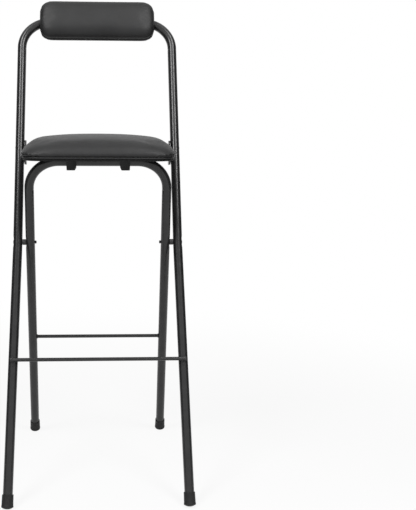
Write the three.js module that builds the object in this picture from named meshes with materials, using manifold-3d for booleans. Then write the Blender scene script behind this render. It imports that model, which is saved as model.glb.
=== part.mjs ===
// A folding bar stool: two bent tube frames crossed at a scissor pivot, a hinged padded seat and a padded backrest.
// Millimetres, +Z up, front towards -Y. The origin is on the floor, below the middle of the whole stool.
import * as THREE from "three";
import { mergeVertices } from "three/addons/utils/BufferGeometryUtils.js";
import Module from "manifold-3d";

const wasm = await Module();
wasm.setup();

// Driving dimensions: the scissor
const pivotHeight = 526;
const frontSpread = 229.5;
const rearSpread = 207.5;
const hingeHeight = 730;
const crossbarHeight = 711.7;

// Driving dimensions: half the outer frame's width at the scissor pivot, and how far in the inner frame lies
const pivotHalf = 178.8;
const frameGap = 27.8;

// Driving dimensions: the outer frame, front legs and back in one tube, wider at its feet than at its top
const backTube = { radius: 10.3, wall: 1.2, splay: 12.2, draw: 2, top: 1110.5, bend: 65 };

// Driving dimensions: the inner frame, rear legs and crossbar in one tube
const legTube = { radius: 10.2, wall: 1.2, splay: 10, draw: 2.7, bend: 65 };

// Driving dimensions: rods welded to the frames, placed by their reach up the frame
const footrest = { radius: 4, reach: 310, overhang: 5.5 };
const rearRod = { radius: 4, reach: 301 };

// Driving dimensions: rubber feet, one profile fitted to each tube
const foot = { wall: 1.4, flare: 0.3, flange: 0.4, flangeHeight: 3, domeRadius: 21, bite: 0.8, length: 30, sole: 8 };

// Driving dimensions: scissor bolts, spacers and cap nuts
const bolt = { radius: 3, headRadius: 5.2, headHeight: 1.5 };
const capNut = { radius: 4.5, height: 3.4, skin: 0.8 };
const spacerWall = 3.2;
const press = { outerTube: 1.2, innerTube: 1, reach: 16, land: 7 };

// Driving dimensions: the seat, measured from its hinge
const seat = { sideGap: 16.8, front: 273, rear: 1, widestLine: 128 };
const seatCushion = { skirt: 3.6, seamDraw: 3.2, lift: 6.4, crown: 33.6 };
const seatBoard = { thickness: 7.5, inset: 9 };
const dustCloth = { thickness: 1, inset: 14 };
const piping = { radius: 2, inset: 6, hang: 3.4 };

// Driving dimensions: the backrest, measured from its bar
const backPad = { width: 272.5, height: 96, corner: 30, edge: 18, seamDraw: 3 };
const backCushion = { lift: 3, rise: 20 };
const backCover = { lift: 6, rise: 20, grooveGap: 0.6, pocketGap: 0.8 };
const backBoard = { thickness: 8, inset: 9 };
const backScrewSpacing = 88;

// Driving dimensions: the seat hinge
const hingeRivet = { radius: 3, headRadius: 5.5, headHeight: 2.4 };
const hingeSpacer = { wall: 2.7, length: 1 };
const ear = { lobe: 17, step: 22, front: 40, drop: 38.5, heel: 9, rounding: 8 };
const bracketFoot = { length: 50, front: 38, rear: 8, nearScrew: 30, farScrew: 43 };
const gusset = { width: 5, drop: 11 };

// Driving dimensions: clips that hook the seat over the crossbar
const clip = { halfSpan: 57, width: 22, wall: 4, gap: 0.6, length: 27, drop: 28.3 };
const clipEnd = { bevel: 3, rounding: 1.5, screwFromRear: 17 };

// Driving dimensions: sheet metal and screws
const plateThickness = 3;
const screw = { radius: 2, headRadius: 4, headHeight: 2.4, endCover: 1.5 };

// Clearances
const touch = 0.3;
const boreGap = 0.3;

// Facets
const tubeSides = 16;
const boreSides = 8;
const cordSides = 6;
const turnSides = 20;
const bendSteps = 8;
const outlineSteps = 48;
const cornerSteps = 6;

// Values that follow from the sizes above
const back = leaning(backTube, frontSpread, pivotHalf);
const leg = leaning(legTube, rearSpread, pivotHalf - frameGap);
leg.top = crossbarHeight / Math.cos(leg.lean);
const floorSpread = frontSpread + rearSpread;
const hingeReach = hingeHeight / Math.cos(back.lean);
const hingeY = hingeHeight * Math.tan(back.lean);
const crossbarY = floorSpread - crossbarHeight * Math.tan(leg.lean);
const throughWidth = 3 * back.floorHalf;
const sides = [
  ["left", -1],
  ["right", 1],
];

// A frame's tube with its half-widths, its lean and the reach of the scissor pivot along it.
function leaning(tube, spread, half) {
  const lean = Math.atan(spread / pivotHeight);
  const pivotReach = pivotHeight / Math.cos(lean);
  return { ...tube, floorHalf: half + tube.splay, pivotHalf: half, topHalf: half - tube.draw, lean, pivotReach };
}

const materials = {
  powderCoat: new THREE.MeshStandardMaterial({ color: 0x2a2a2b, roughness: 0.42, metalness: 0.25 }),
  rubber: new THREE.MeshStandardMaterial({ color: 0x1b1b1b, roughness: 0.8, metalness: 0 }),
  blackSteel: new THREE.MeshStandardMaterial({ color: 0x1d1d1e, roughness: 0.35, metalness: 0.7 }),
  leatherette: new THREE.MeshStandardMaterial({ color: 0x2c2c2d, roughness: 0.5, metalness: 0 }),
  plywood: new THREE.MeshStandardMaterial({ color: 0x8a6a45, roughness: 0.75, metalness: 0 }),
  cloth: new THREE.MeshStandardMaterial({ color: 0x151515, roughness: 0.95, metalness: 0 }),
  plastic: new THREE.MeshStandardMaterial({ color: 0x18181a, roughness: 0.55, metalness: 0 }),
};

// Turns a closed geometry into a solid for cutting and joining.
function solidOf(geometry) {
  const bare = geometry.clone();
  bare.deleteAttribute("normal");
  bare.deleteAttribute("uv");
  const merged = mergeVertices(bare);
  const vertProperties = merged.attributes.position.array;
  const triVerts = new Uint32Array(merged.index.array);
  return new wasm.Manifold(new wasm.Mesh({ numProp: 3, vertProperties, triVerts }));
}

function geometryOf(solid) {
  const made = solid.getMesh();
  const geometry = new THREE.BufferGeometry();
  geometry.setAttribute("position", new THREE.BufferAttribute(made.vertProperties, 3));
  geometry.setIndex(new THREE.BufferAttribute(made.triVerts, 1));
  geometry.computeVertexNormals();
  return geometry;
}

function cut(geometry, tools) {
  return geometryOf(tools.reduce((left, tool) => left.subtract(solidOf(tool)), solidOf(geometry)));
}

function join(geometry, other) {
  return geometryOf(solidOf(geometry).add(solidOf(other)));
}

// Faces that join each ring of points to the next, and the last to the first where the rings close up.
function ringFaces(rings, closed) {
  const count = rings[0].length;
  const spans = closed ? rings.length : rings.length - 1;
  const faces = [];
  for (let ring = 0; ring < spans; ring += 1) {
    const here = ring * count;
    const above = ((ring + 1) % rings.length) * count;
    for (let index = 0; index < count; index += 1) {
      const next = (index + 1) % count;
      faces.push(here + index, here + next, above + next, here + index, above + next, above + index);
    }
  }
  return faces;
}

function geometryFrom(points, faces) {
  const geometry = new THREE.BufferGeometry().setFromPoints(points);
  geometry.setIndex(faces);
  geometry.computeVertexNormals();
  return geometry;
}

// A closed form from rings that run up its outside, with a middle point below the first and above the last.
function stackedForm(rings, lowest, highest) {
  const faces = ringFaces(rings, false);
  const count = rings[0].length;
  const low = rings.length * count;
  const lastRing = low - count;
  for (let index = 0; index < count; index += 1) {
    const next = (index + 1) % count;
    faces.push(low, next, index, lastRing + index, lastRing + next, low + 1);
  }
  const ends = [new THREE.Vector3(0, 0, lowest), new THREE.Vector3(0, 0, highest)];
  return geometryFrom([...rings.flat(), ...ends], faces);
}

function circle(radius, count) {
  const points = [];
  for (let step = 0; step < count; step += 1) {
    const angle = (step / count) * 2 * Math.PI;
    points.push(new THREE.Vector2(radius * Math.cos(angle), radius * Math.sin(angle)));
  }
  return points;
}

function raised(outline, height, share = 1) {
  return outline.map((point) => new THREE.Vector3(point.x * share, point.y * share, height));
}

// Round pieces. A profile lists [radius, height] pairs that run up the outside between two heights on the axis.
function turned(lowest, profile, highest) {
  const rings = profile.map(([radius, height]) => raised(circle(radius, turnSides), height));
  return stackedForm(rings, lowest, highest);
}

function sleeve(inner, outer, low, high) {
  const rings = [
    raised(circle(inner, turnSides), low),
    raised(circle(outer, turnSides), low),
    raised(circle(outer, turnSides), high),
    raised(circle(inner, turnSides), high),
  ];
  return geometryFrom(rings.flat(), ringFaces(rings, true));
}

// A shank that runs up from a domed head.
function headedPin({ radius, headRadius, headHeight }, seatAt, tip) {
  const headBottom = seatAt - headHeight;
  return turned(
    headBottom,
    [
      [headRadius / 2, headBottom],
      [headRadius, seatAt - headHeight / 2],
      [headRadius, seatAt],
      [radius, seatAt],
      [radius, tip],
    ],
    tip,
  );
}

// Turns a piece made along +Z so that it runs outwards along X on the given side.
function outwards(geometry, side) {
  return geometry.rotateY((side * Math.PI) / 2);
}

function rodAlongX(radius, length) {
  return new THREE.CylinderGeometry(radius, radius, length, tubeSides).rotateZ(Math.PI / 2);
}

function rodUpwards(radius, low, high) {
  const length = high - low;
  const rod = new THREE.CylinderGeometry(radius, radius, length, tubeSides).rotateX(Math.PI / 2);
  return rod.translate(0, 0, (low + high) / 2);
}

// A closed outline through corners given as [x, y, rounding].
function roundedOutline(corners) {
  return corners.flatMap(([x, y, rounding], index) => {
    const here = new THREE.Vector2(x, y);
    if (rounding === 0) return [here];
    const before = new THREE.Vector2(...corners.at(index - 1)).sub(here).setLength(rounding).add(here);
    const after = new THREE.Vector2(...corners.at((index + 1) % corners.length));
    after.sub(here).setLength(rounding).add(here);
    return new THREE.QuadraticBezierCurve(before, here, after).getPoints(cornerSteps);
  });
}

function flatPlate(outline, thickness) {
  return new THREE.ExtrudeGeometry(new THREE.Shape(outline), { depth: thickness, bevelEnabled: false });
}

function mesh(name, geometry, material) {
  const made = new THREE.Mesh(geometry, material);
  made.name = name;
  return made;
}

function groupAt(x, y, z, angle = 0) {
  const made = new THREE.Group();
  made.position.set(x, y, z);
  made.rotation.x = angle;
  return made;
}

// A path through a list of points, with one step from each point to the next.
class PointPath extends THREE.Curve {
  constructor(points) {
    super();
    this.points = points;
  }
  getPoint(share) {
    const place = share * (this.points.length - 1);
    const index = Math.min(Math.floor(place), this.points.length - 2);
    return this.points[index].clone().lerp(this.points[index + 1], place - index);
  }
  getTangent(share) {
    const index = Math.round(share * (this.points.length - 1));
    const here = this.points[index];
    const before = this.points[Math.max(index - 1, 0)];
    const after = this.points[Math.min(index + 1, this.points.length - 1)];
    const arriving = here.clone().sub(before).normalize();
    return after.clone().sub(here).normalize().add(arriving).normalize();
  }
  getUtoTmapping(share) {
    return share;
  }
}

function sweep(points, outline, holes = []) {
  const shape = new THREE.Shape(outline);
  shape.holes.push(...holes.map((hole) => new THREE.Path(hole)));
  return new THREE.ExtrudeGeometry(shape, { steps: points.length - 1, extrudePath: new PointPath(points) });
}

// The half-width of a frame's centre line at a reach along the frame.
function halfSpanAt(frame, reach) {
  const { floorHalf, pivotHalf, topHalf, pivotReach } = frame;
  if (reach < pivotReach) return THREE.MathUtils.lerp(floorHalf, pivotHalf, reach / pivotReach);
  const share = Math.min(1, (reach - pivotReach) / (frame.top - frame.bend - pivotReach));
  return THREE.MathUtils.lerp(pivotHalf, topHalf, share);
}

// Offsets along a frame from its pivot at which the pressed part is shaped
const pressOffsets = [-1, -0.75, -0.5].map((share) => share * press.reach).concat([-press.land, press.land]);
pressOffsets.push(...pressOffsets.slice(0, 3).reverse().map((offset) => -offset));

// Points along a frame's centre line from one foot over the top to the other, in the plane of the frame.
function frameLine(frame) {
  const reaches = [tubeStart(frame), ...pressOffsets.map((offset) => frame.pivotReach + offset)];
  const half = reaches.map((reach) => new THREE.Vector3(halfSpanAt(frame, reach), 0, reach));
  for (let step = 0; step <= bendSteps; step += 1) {
    const angle = ((step / bendSteps) * Math.PI) / 2;
    const x = frame.topHalf - frame.bend * (1 - Math.cos(angle));
    half.push(new THREE.Vector3(x, 0, frame.top - frame.bend * (1 - Math.sin(angle))));
  }
  const other = half.map((point) => new THREE.Vector3(-point.x, 0, point.z)).reverse();
  return [...half, ...other];
}

function frameTube(frame) {
  const bore = circle(frame.radius - frame.wall, boreSides);
  return sweep(frameLine(frame), circle(frame.radius, tubeSides), [bore]);
}

// Presses both legs of a frame flat on their outer side at the pivot.
function pressAtPivot(geometry, frame, depth) {
  const position = geometry.attributes.position;
  for (let index = 0; index < position.count; index += 1) {
    const reach = position.getZ(index);
    const fromPivot = Math.abs(reach - frame.pivotReach);
    const share = THREE.MathUtils.smoothstep(press.reach - fromPivot, 0, press.reach - press.land);
    const side = Math.sign(position.getX(index));
    const centre = halfSpanAt(frame, reach);
    const offset = side * position.getX(index) - centre;
    const inBore = Math.hypot(offset, position.getY(index)) < frame.radius - frame.wall / 2;
    const most = frame.radius - (inBore ? frame.wall : 0) - share * depth;
    if (share > 0) position.setX(index, side * (centre + Math.min(offset, most)));
  }
}

// Where the middle of a foot's dome and the tube's end lie, as reaches along the frame.
function footReach(frame) {
  return (foot.domeRadius - foot.bite) / Math.cos(frame.lean);
}

function tubeStart(frame) {
  return footReach(frame) - foot.domeRadius + foot.sole + touch;
}

// A rubber foot round its dome's middle: a cup with a flange and a dome that the floor presses flat.
const domeShares = [0.3, 0.55, 0.8];

function footGeometry(frame, place) {
  const inner = frame.radius + touch;
  const outer = inner + foot.wall;
  const flange = outer + foot.flare + foot.flange;
  const rim = -Math.sqrt(foot.domeRadius ** 2 - flange ** 2);
  const top = foot.length - foot.domeRadius;
  const bottom = foot.sole - foot.domeRadius;
  const dome = domeShares.map((share) => {
    const angle = Math.asin(flange / foot.domeRadius) * share;
    return [foot.domeRadius * Math.sin(angle), -foot.domeRadius * Math.cos(angle)];
  });
  const profile = [
    ...dome,
    [flange, rim],
    [flange, rim + foot.flangeHeight],
    [outer + foot.flare, rim + foot.flangeHeight],
    [outer, top - foot.wall / 2],
    [outer - foot.wall / 2, top],
    [inner, top],
    [inner, bottom],
  ];
  const under = new THREE.BoxGeometry(2 * foot.length, 2 * foot.length, 2 * foot.length);
  const spot = new THREE.Vector3().setFromMatrixPosition(place);
  under.translate(spot.x, spot.y, -foot.length).applyMatrix4(place.clone().invert());
  return cut(turned(-foot.domeRadius, profile, bottom), [under]);
}

function addFeet(group, prefix, frame) {
  const splay = Math.atan((frame.floorHalf - frame.pivotHalf) / frame.pivotReach);
  const reach = footReach(frame);
  for (const [label, side] of sides) {
    const place = groupAt(side * halfSpanAt(frame, reach), 0, reach);
    place.rotation.y = -side * splay;
    group.add(place);
    group.updateMatrixWorld(true);
    place.add(mesh(`${prefix}_${label}`, footGeometry(frame, place.matrixWorld), materials.rubber));
  }
}

function pivotBore(frame) {
  return rodAlongX(bolt.radius + boreGap, throughWidth).translate(0, 0, frame.pivotReach);
}

// The outer frame, with the footrest rod across its front. Its group's z runs up along the frame.
const hingeHalf = halfSpanAt(back, hingeReach);

function backFrameGeometry() {
  const tube = frameTube(back);
  pressAtPivot(tube, back, press.outerTube);
  const hingeBore = rodAlongX(hingeRivet.radius + boreGap, throughWidth).translate(0, 0, hingeReach);
  const screwBores = sides.map(([, side]) => {
    const bore = rodUpwards(screw.radius + boreGap, -2 * backTube.radius, 2 * backTube.radius);
    return bore.rotateX(Math.PI / 2).translate((side * backScrewSpacing) / 2, 0, backTube.top);
  });
  return cut(tube, [pivotBore(back), hingeBore, ...screwBores]);
}

const backGroup = groupAt(0, 0, 0, -back.lean);
const footrestHalf = halfSpanAt(back, footrest.reach) + footrest.overhang;
const footrestRod = mesh("footrest_rod", rodAlongX(footrest.radius, 2 * footrestHalf), materials.powderCoat);
footrestRod.position.set(0, -(backTube.radius + touch + footrest.radius), footrest.reach);
backGroup.add(mesh("back_frame", backFrameGeometry(), materials.powderCoat), footrestRod);
addFeet(backGroup, "foot_front", back);

// The inner frame, with the rod between its legs
function legFrameGeometry() {
  const tube = frameTube(leg);
  pressAtPivot(tube, leg, press.innerTube);
  return cut(tube, [pivotBore(leg)]);
}

const legGroup = groupAt(0, floorSpread, 0, leg.lean);
const rearRodHalf = halfSpanAt(leg, rearRod.reach) - leg.radius - touch;
const rearRodMesh = mesh("rear_rod", rodAlongX(rearRod.radius, 2 * rearRodHalf), materials.powderCoat);
rearRodMesh.position.set(0, 0, rearRod.reach);
legGroup.add(mesh("rear_leg_frame", legFrameGeometry(), materials.powderCoat), rearRodMesh);
addFeet(legGroup, "foot_rear", leg);

// The scissor pivot on each side: a bolt from the outside, a spacer between the tubes and a cap nut inside
const boltSeat = back.pivotHalf + back.radius - press.outerTube + touch;
const spacerOuter = back.pivotHalf - back.radius - touch;
const spacerInner = leg.pivotHalf + leg.radius - press.innerTube + touch;
const nutSeat = leg.pivotHalf - leg.radius - touch;
const nutEnd = nutSeat - capNut.height;
const nutFloor = nutEnd + capNut.skin;
const shankBore = bolt.radius + boreGap;
const capNutProfile = [
  [capNut.radius / 2, nutEnd],
  [capNut.radius, nutFloor],
  [capNut.radius, nutSeat],
  [shankBore, nutSeat],
  [shankBore, nutFloor],
];

const pivotGroup = groupAt(0, frontSpread, pivotHeight);
for (const [label, side] of sides) {
  const pin = headedPin(bolt, -boltSeat, -(nutFloor + touch));
  const spacer = sleeve(shankBore, shankBore + spacerWall, spacerInner, spacerOuter);
  const nut = turned(nutEnd, capNutProfile, nutFloor);
  pivotGroup.add(mesh(`pivot_bolt_${label}`, outwards(pin, -side), materials.blackSteel));
  pivotGroup.add(mesh(`pivot_spacer_${label}`, outwards(spacer, side), materials.blackSteel));
  pivotGroup.add(mesh(`pivot_nut_${label}`, outwards(nut, side), materials.blackSteel));
}

// The seat. Its group's origin is on the hinge axis, and these are heights above it.
const seatGroup = groupAt(0, hingeY, hingeHeight);
const clothBottom = crossbarHeight + legTube.radius + touch - hingeHeight;
const boardBottom = clothBottom + dustCloth.thickness + touch;
const boardTop = boardBottom + seatBoard.thickness;
const cushionBottom = boardTop - seatCushion.skirt;
const plateTop = clothBottom - touch;
const plateBottom = plateTop - plateThickness;
const screwSeat = plateBottom - touch;
const screwTip = boardTop - screw.endCover;
const seatHalf = back.pivotHalf - seat.sideGap;

// The seat's plan: exponents of its front and rear halves, which meet at its widest line.
const planExponents = { front: 7, rear: 5.8 };

function seatOutline(inset) {
  return circle(1, outlineSteps).map((point) => {
    const front = point.y < 0;
    const power = 2 / (front ? planExponents.front : planExponents.rear);
    const reach = front ? seat.front - seat.widestLine : seat.widestLine + seat.rear;
    const x = Math.sign(point.x) * Math.abs(point.x) ** power * (seatHalf - inset);
    const y = Math.sign(point.y) * Math.abs(point.y) ** power * (reach - inset);
    return new THREE.Vector2(x, y);
  });
}

function seatPlate(inset, bottom, top) {
  return flatPlate(seatOutline(inset), top - bottom).translate(0, -seat.widestLine, bottom);
}

// Shares of the seat's plan and of its crown, from its widest line up towards its middle.
const crownShares = [
  [1, 0],
  [0.988, 0.12],
  [0.97, 0.25],
  [0.95, 0.385],
  [0.93, 0.485],
  [0.904, 0.575],
  [0.872, 0.645],
  [0.827, 0.718],
  [0.75, 0.788],
  [0.65, 0.86],
  [0.494, 0.935],
  [0.26, 0.982],
];

function seatCushionGeometry() {
  const widest = cushionBottom + seatCushion.lift;
  const rings = [
    raised(seatOutline(seatCushion.seamDraw), cushionBottom),
    raised(seatOutline(seatCushion.seamDraw / 4), (cushionBottom + widest) / 2),
    ...crownShares.map(([share, rise]) => raised(seatOutline(0), widest + rise * seatCushion.crown, share)),
  ];
  const form = stackedForm(rings, cushionBottom, widest + seatCushion.crown).translate(0, -seat.widestLine, 0);
  return cut(form, [seatPlate(seatBoard.inset - touch, boardBottom - touch, boardTop + touch)]);
}

// The piping and the welt below it hang down round the board's edge, notched where a hinge bracket passes.
function pipingGeometry() {
  const middle = cushionBottom - touch - piping.radius;
  const rings = circle(piping.radius, cordSides).map((point) =>
    raised(seatOutline(piping.inset - point.x), middle + point.y * (point.y < 0 ? piping.hang : 1)),
  );
  const welt = geometryFrom(rings.flat(), ringFaces(rings, true)).translate(0, -seat.widestLine, 0);
  const notchLength = bracketFoot.front - bracketFoot.rear + 2 * touch;
  const notchHeight = 2 * (plateTop + touch - plateBottom);
  const notches = sides.map(([, side]) => {
    const notch = new THREE.BoxGeometry(2 * bracketFoot.length, notchLength, notchHeight);
    return notch.translate(side * seatHalf, -(bracketFoot.front + bracketFoot.rear) / 2, plateBottom);
  });
  return cut(welt, notches);
}

// Places of the screws under the seat, in pairs for the hinge brackets and one for each clip
const earOuter = hingeHalf - backTube.radius - hingeSpacer.length - 2 * touch;
const earInner = earOuter - plateThickness;
const clipRear = crossbarY - legTube.radius - clip.gap - hingeY;
const seatScrews = sides.flatMap(([label, side]) => {
  const bracketY = -(bracketFoot.front + bracketFoot.rear) / 2;
  return [
    { name: `bracket_screw_${label}_1`, x: side * (earInner - bracketFoot.nearScrew), y: bracketY },
    { name: `bracket_screw_${label}_2`, x: side * (earInner - bracketFoot.farScrew), y: bracketY },
    { name: `clip_screw_${label}`, x: side * clip.halfSpan, y: clipRear - clipEnd.screwFromRear },
  ];
});

function cutScrewBores(geometry) {
  const bores = seatScrews.map(({ x, y }) => {
    const bore = rodUpwards(screw.radius + boreGap, screwSeat - plateThickness, screwTip + touch);
    return bore.translate(x, y, 0);
  });
  return cut(geometry, bores);
}

// The hinge brackets: an ear beside the outer tube and a foot under the seat board
const earOutline = roundedOutline([
  [-ear.step, plateTop, 0],
  [-ear.front, plateTop, 0],
  [-ear.front, plateBottom, 0],
  [-ear.heel, -ear.drop, ear.rounding],
  [ear.heel, -ear.drop, ear.rounding],
  [ear.lobe, 0, ear.rounding],
  [ear.heel, ear.lobe, ear.rounding],
  [-ear.heel, ear.lobe, ear.rounding],
  [-ear.lobe, 0, ear.rounding],
]);

// The web in the corner between the ear and the foot, on the right side
const gussetOutline = [
  new THREE.Vector2(earInner - gusset.width, (plateTop + plateBottom) / 2),
  new THREE.Vector2(earInner - gusset.width, plateBottom),
  new THREE.Vector2(earInner, plateBottom - gusset.drop),
  new THREE.Vector2((earInner + earOuter) / 2, plateBottom - gusset.drop),
  new THREE.Vector2((earInner + earOuter) / 2, (plateTop + plateBottom) / 2),
];

function hingeBracketGeometry(side) {
  const plate = flatPlate(earOutline, plateThickness).rotateX(Math.PI / 2).rotateZ(Math.PI / 2);
  plate.translate(side > 0 ? earInner : -earOuter, 0, 0);
  const footWidth = bracketFoot.length + plateThickness;
  const base = new THREE.BoxGeometry(footWidth, bracketFoot.front - bracketFoot.rear, plateThickness);
  const baseY = -(bracketFoot.front + bracketFoot.rear) / 2;
  base.translate(side * (earOuter - footWidth / 2), baseY, (plateTop + plateBottom) / 2);
  const bend = flatPlate(gussetOutline, bracketFoot.front - bracketFoot.rear).rotateX(Math.PI / 2);
  bend.translate(0, -bracketFoot.rear, 0);
  if (side < 0) bend.rotateZ(Math.PI).translate(0, 2 * baseY, 0);
  const bore = rodAlongX(hingeRivet.radius + boreGap, throughWidth);
  return cutScrewBores(cut(join(join(plate, base), bend), [bore]));
}

// The clips: a plate under the seat with a wall that hangs in front of the crossbar, bevelled towards the middle
function clipGeometry(side) {
  const half = clip.width / 2;
  const wallBottom = plateTop - clip.drop;
  const outline = roundedOutline([
    [-side * half, plateTop, 0],
    [-side * half, wallBottom + 2 * clipEnd.bevel, clipEnd.rounding],
    [-side * (half - clipEnd.bevel), wallBottom, clipEnd.rounding],
    [side * (half - clipEnd.rounding), wallBottom, clipEnd.rounding],
    [side * half, plateTop, 0],
  ]);
  const wall = flatPlate(outline, clip.wall).rotateX(Math.PI / 2);
  const plate = new THREE.BoxGeometry(clip.width, clip.length, plateThickness);
  plate.translate(0, -clip.length / 2, (plateTop + plateBottom) / 2);
  return cutScrewBores(join(wall, plate).translate(side * clip.halfSpan, clipRear, 0));
}

seatGroup.add(
  mesh("seat_board", cutScrewBores(seatPlate(seatBoard.inset, boardBottom, boardTop)), materials.plywood),
  mesh("seat_cushion", seatCushionGeometry(), materials.leatherette),
  mesh("seat_piping", pipingGeometry(), materials.leatherette),
  mesh(
    "seat_underlay",
    cutScrewBores(seatPlate(dustCloth.inset, clothBottom, clothBottom + dustCloth.thickness)),
    materials.cloth,
  ),
);
for (const { name, x, y } of seatScrews) {
  seatGroup.add(mesh(name, headedPin(screw, screwSeat, screwTip).translate(x, y, 0), materials.blackSteel));
}
for (const [label, side] of sides) {
  const rivet = headedPin(hingeRivet, earInner - touch, hingeHalf + backTube.radius);
  const spacerBore = hingeRivet.radius + boreGap;
  const spacerLow = earOuter + touch;
  const spacer = sleeve(spacerBore, spacerBore + hingeSpacer.wall, spacerLow, spacerLow + hingeSpacer.length);
  seatGroup.add(mesh(`hinge_bracket_${label}`, hingeBracketGeometry(side), materials.powderCoat));
  seatGroup.add(mesh(`hinge_rivet_${label}`, outwards(rivet, side), materials.blackSteel));
  seatGroup.add(mesh(`hinge_spacer_${label}`, outwards(spacer, side), materials.plastic));
  seatGroup.add(mesh(`bar_clip_${label}`, clipGeometry(side), materials.plastic));
}

// The backrest. Its group's origin is in the middle of the bar, y runs up along the frame and z to its front.
const padGroup = groupAt(0, 0, backTube.top, Math.PI / 2);
const padSeam = backTube.radius + touch;
const backBoardTop = padSeam + backBoard.thickness;

function padOutline(inset) {
  const halfWidth = backPad.width / 2;
  const halfHeight = backPad.height / 2;
  const outline = roundedOutline([
    [halfWidth, -halfHeight, backPad.corner],
    [halfWidth, halfHeight, backPad.corner],
    [-halfWidth, halfHeight, backPad.corner],
    [-halfWidth, -halfHeight, backPad.corner],
  ]);
  const share = new THREE.Vector2(1 - inset / halfWidth, 1 - inset / halfHeight);
  return outline.map((point) => point.multiply(share));
}

// Insets as shares of the pad's edge, and shares of its rise, from its widest line towards its middle.
const edgeShares = [
  [0, 0],
  [0.05, 0.26],
  [0.15, 0.48],
  [0.32, 0.68],
  [0.58, 0.83],
  [1, 0.93],
  [1.7, 0.985],
];

function padForm(bottom, lift, rise) {
  const widest = bottom + lift;
  const rings = [
    raised(padOutline(backPad.seamDraw), bottom),
    raised(padOutline(backPad.seamDraw / 4), bottom + lift / 2),
    ...edgeShares.map(([inset, share]) => raised(padOutline(inset * backPad.edge), widest + share * rise)),
  ];
  return stackedForm(rings, bottom, widest + rise);
}

function backCushionGeometry() {
  const recess = flatPlate(padOutline(backBoard.inset - touch), backBoard.thickness + 2 * touch);
  return cut(padForm(padSeam, backCushion.lift, backCushion.rise), [recess.translate(0, 0, padSeam - touch)]);
}

// The groove for the bar: half a circle round it, open towards the front.
function grooveOutline(radius) {
  const arc = circle(radius, tubeSides).filter((point) => point.x > touch);
  arc.sort((one, other) => one.y - other.y);
  const front = -2 * radius;
  return [new THREE.Vector2(front, -radius), new THREE.Vector2(0, -radius), ...arc].concat([
    new THREE.Vector2(0, radius),
    new THREE.Vector2(front, radius),
  ]);
}

function backCoverGeometry() {
  const form = padForm(-backTube.radius, backCover.lift, backCover.rise).rotateY(Math.PI);
  const overTop = frameLine(back).filter((point) => point.z > backTube.top - backTube.bend / 2);
  const grooveLine = overTop.map((point) => new THREE.Vector3(point.x, point.z - backTube.top, 0));
  const groove = sweep(grooveLine, grooveOutline(backTube.radius + backCover.grooveGap));
  const pocketDepth = backTube.radius + touch + screw.headHeight + touch;
  const pockets = sides.map(([, side]) => {
    const pocket = rodUpwards(screw.headRadius + backCover.pocketGap, -pocketDepth, 0);
    return pocket.translate((side * backScrewSpacing) / 2, 0, 0);
  });
  return cut(form, [groove, ...pockets]);
}

function backBoardGeometry() {
  const plate = flatPlate(padOutline(backBoard.inset), backBoard.thickness).translate(0, 0, padSeam);
  const bores = sides.map(([, side]) => {
    const bore = rodUpwards(screw.radius + boreGap, 0, backBoardTop - screw.endCover + touch);
    return bore.translate((side * backScrewSpacing) / 2, 0, 0);
  });
  return cut(plate, bores);
}

padGroup.add(
  mesh("backrest_board", backBoardGeometry(), materials.plywood),
  mesh("backrest_cushion", backCushionGeometry(), materials.leatherette),
  mesh("backrest_cover", backCoverGeometry(), materials.leatherette),
);
for (const [label, side] of sides) {
  const pin = headedPin(screw, -(backTube.radius + touch), backBoardTop - screw.endCover);
  pin.translate((side * backScrewSpacing) / 2, 0, 0);
  padGroup.add(mesh(`backrest_screw_${label}`, pin, materials.blackSteel));
}
backGroup.add(padGroup);

// The whole stool, moved so that its middle is over the origin
const stool = new THREE.Group();
stool.name = "folding_bar_stool";
stool.add(backGroup, legGroup, pivotGroup, seatGroup);
stool.updateMatrixWorld(true);
const middle = new THREE.Box3().setFromObject(stool, true).getCenter(new THREE.Vector3());
stool.position.set(-middle.x, -middle.y, 0);

export default stool;
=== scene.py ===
import math

import bmesh
import bpy
from mathutils import Matrix, Vector

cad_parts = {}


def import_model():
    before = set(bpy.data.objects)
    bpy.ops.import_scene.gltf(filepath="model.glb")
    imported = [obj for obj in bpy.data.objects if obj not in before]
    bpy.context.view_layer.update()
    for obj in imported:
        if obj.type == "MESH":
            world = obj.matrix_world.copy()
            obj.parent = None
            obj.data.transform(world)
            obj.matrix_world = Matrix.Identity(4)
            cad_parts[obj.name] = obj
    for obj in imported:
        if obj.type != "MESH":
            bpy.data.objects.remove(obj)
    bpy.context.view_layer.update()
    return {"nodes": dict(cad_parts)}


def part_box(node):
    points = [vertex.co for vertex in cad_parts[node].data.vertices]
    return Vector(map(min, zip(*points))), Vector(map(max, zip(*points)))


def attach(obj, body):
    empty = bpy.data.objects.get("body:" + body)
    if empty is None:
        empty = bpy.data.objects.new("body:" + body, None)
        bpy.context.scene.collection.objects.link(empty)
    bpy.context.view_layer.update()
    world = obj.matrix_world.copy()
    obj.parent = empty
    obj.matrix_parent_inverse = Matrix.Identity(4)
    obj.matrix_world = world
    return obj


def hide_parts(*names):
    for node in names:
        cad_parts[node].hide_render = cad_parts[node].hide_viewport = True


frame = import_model()
scene = bpy.context.scene
MM = 0.001

# Camera, from a fit to the photograph
CAMERA_AT = (-0.01289, -1.894267, 0.8507)
CAMERA_YAW = 0.0465
CAMERA_PITCH = 0.1850
CAMERA_ROLL = 0.0062
CAMERA_LENS = 60.46
CAMERA_SENSOR = 36
CAMERA_SHIFT = 0.15

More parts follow.
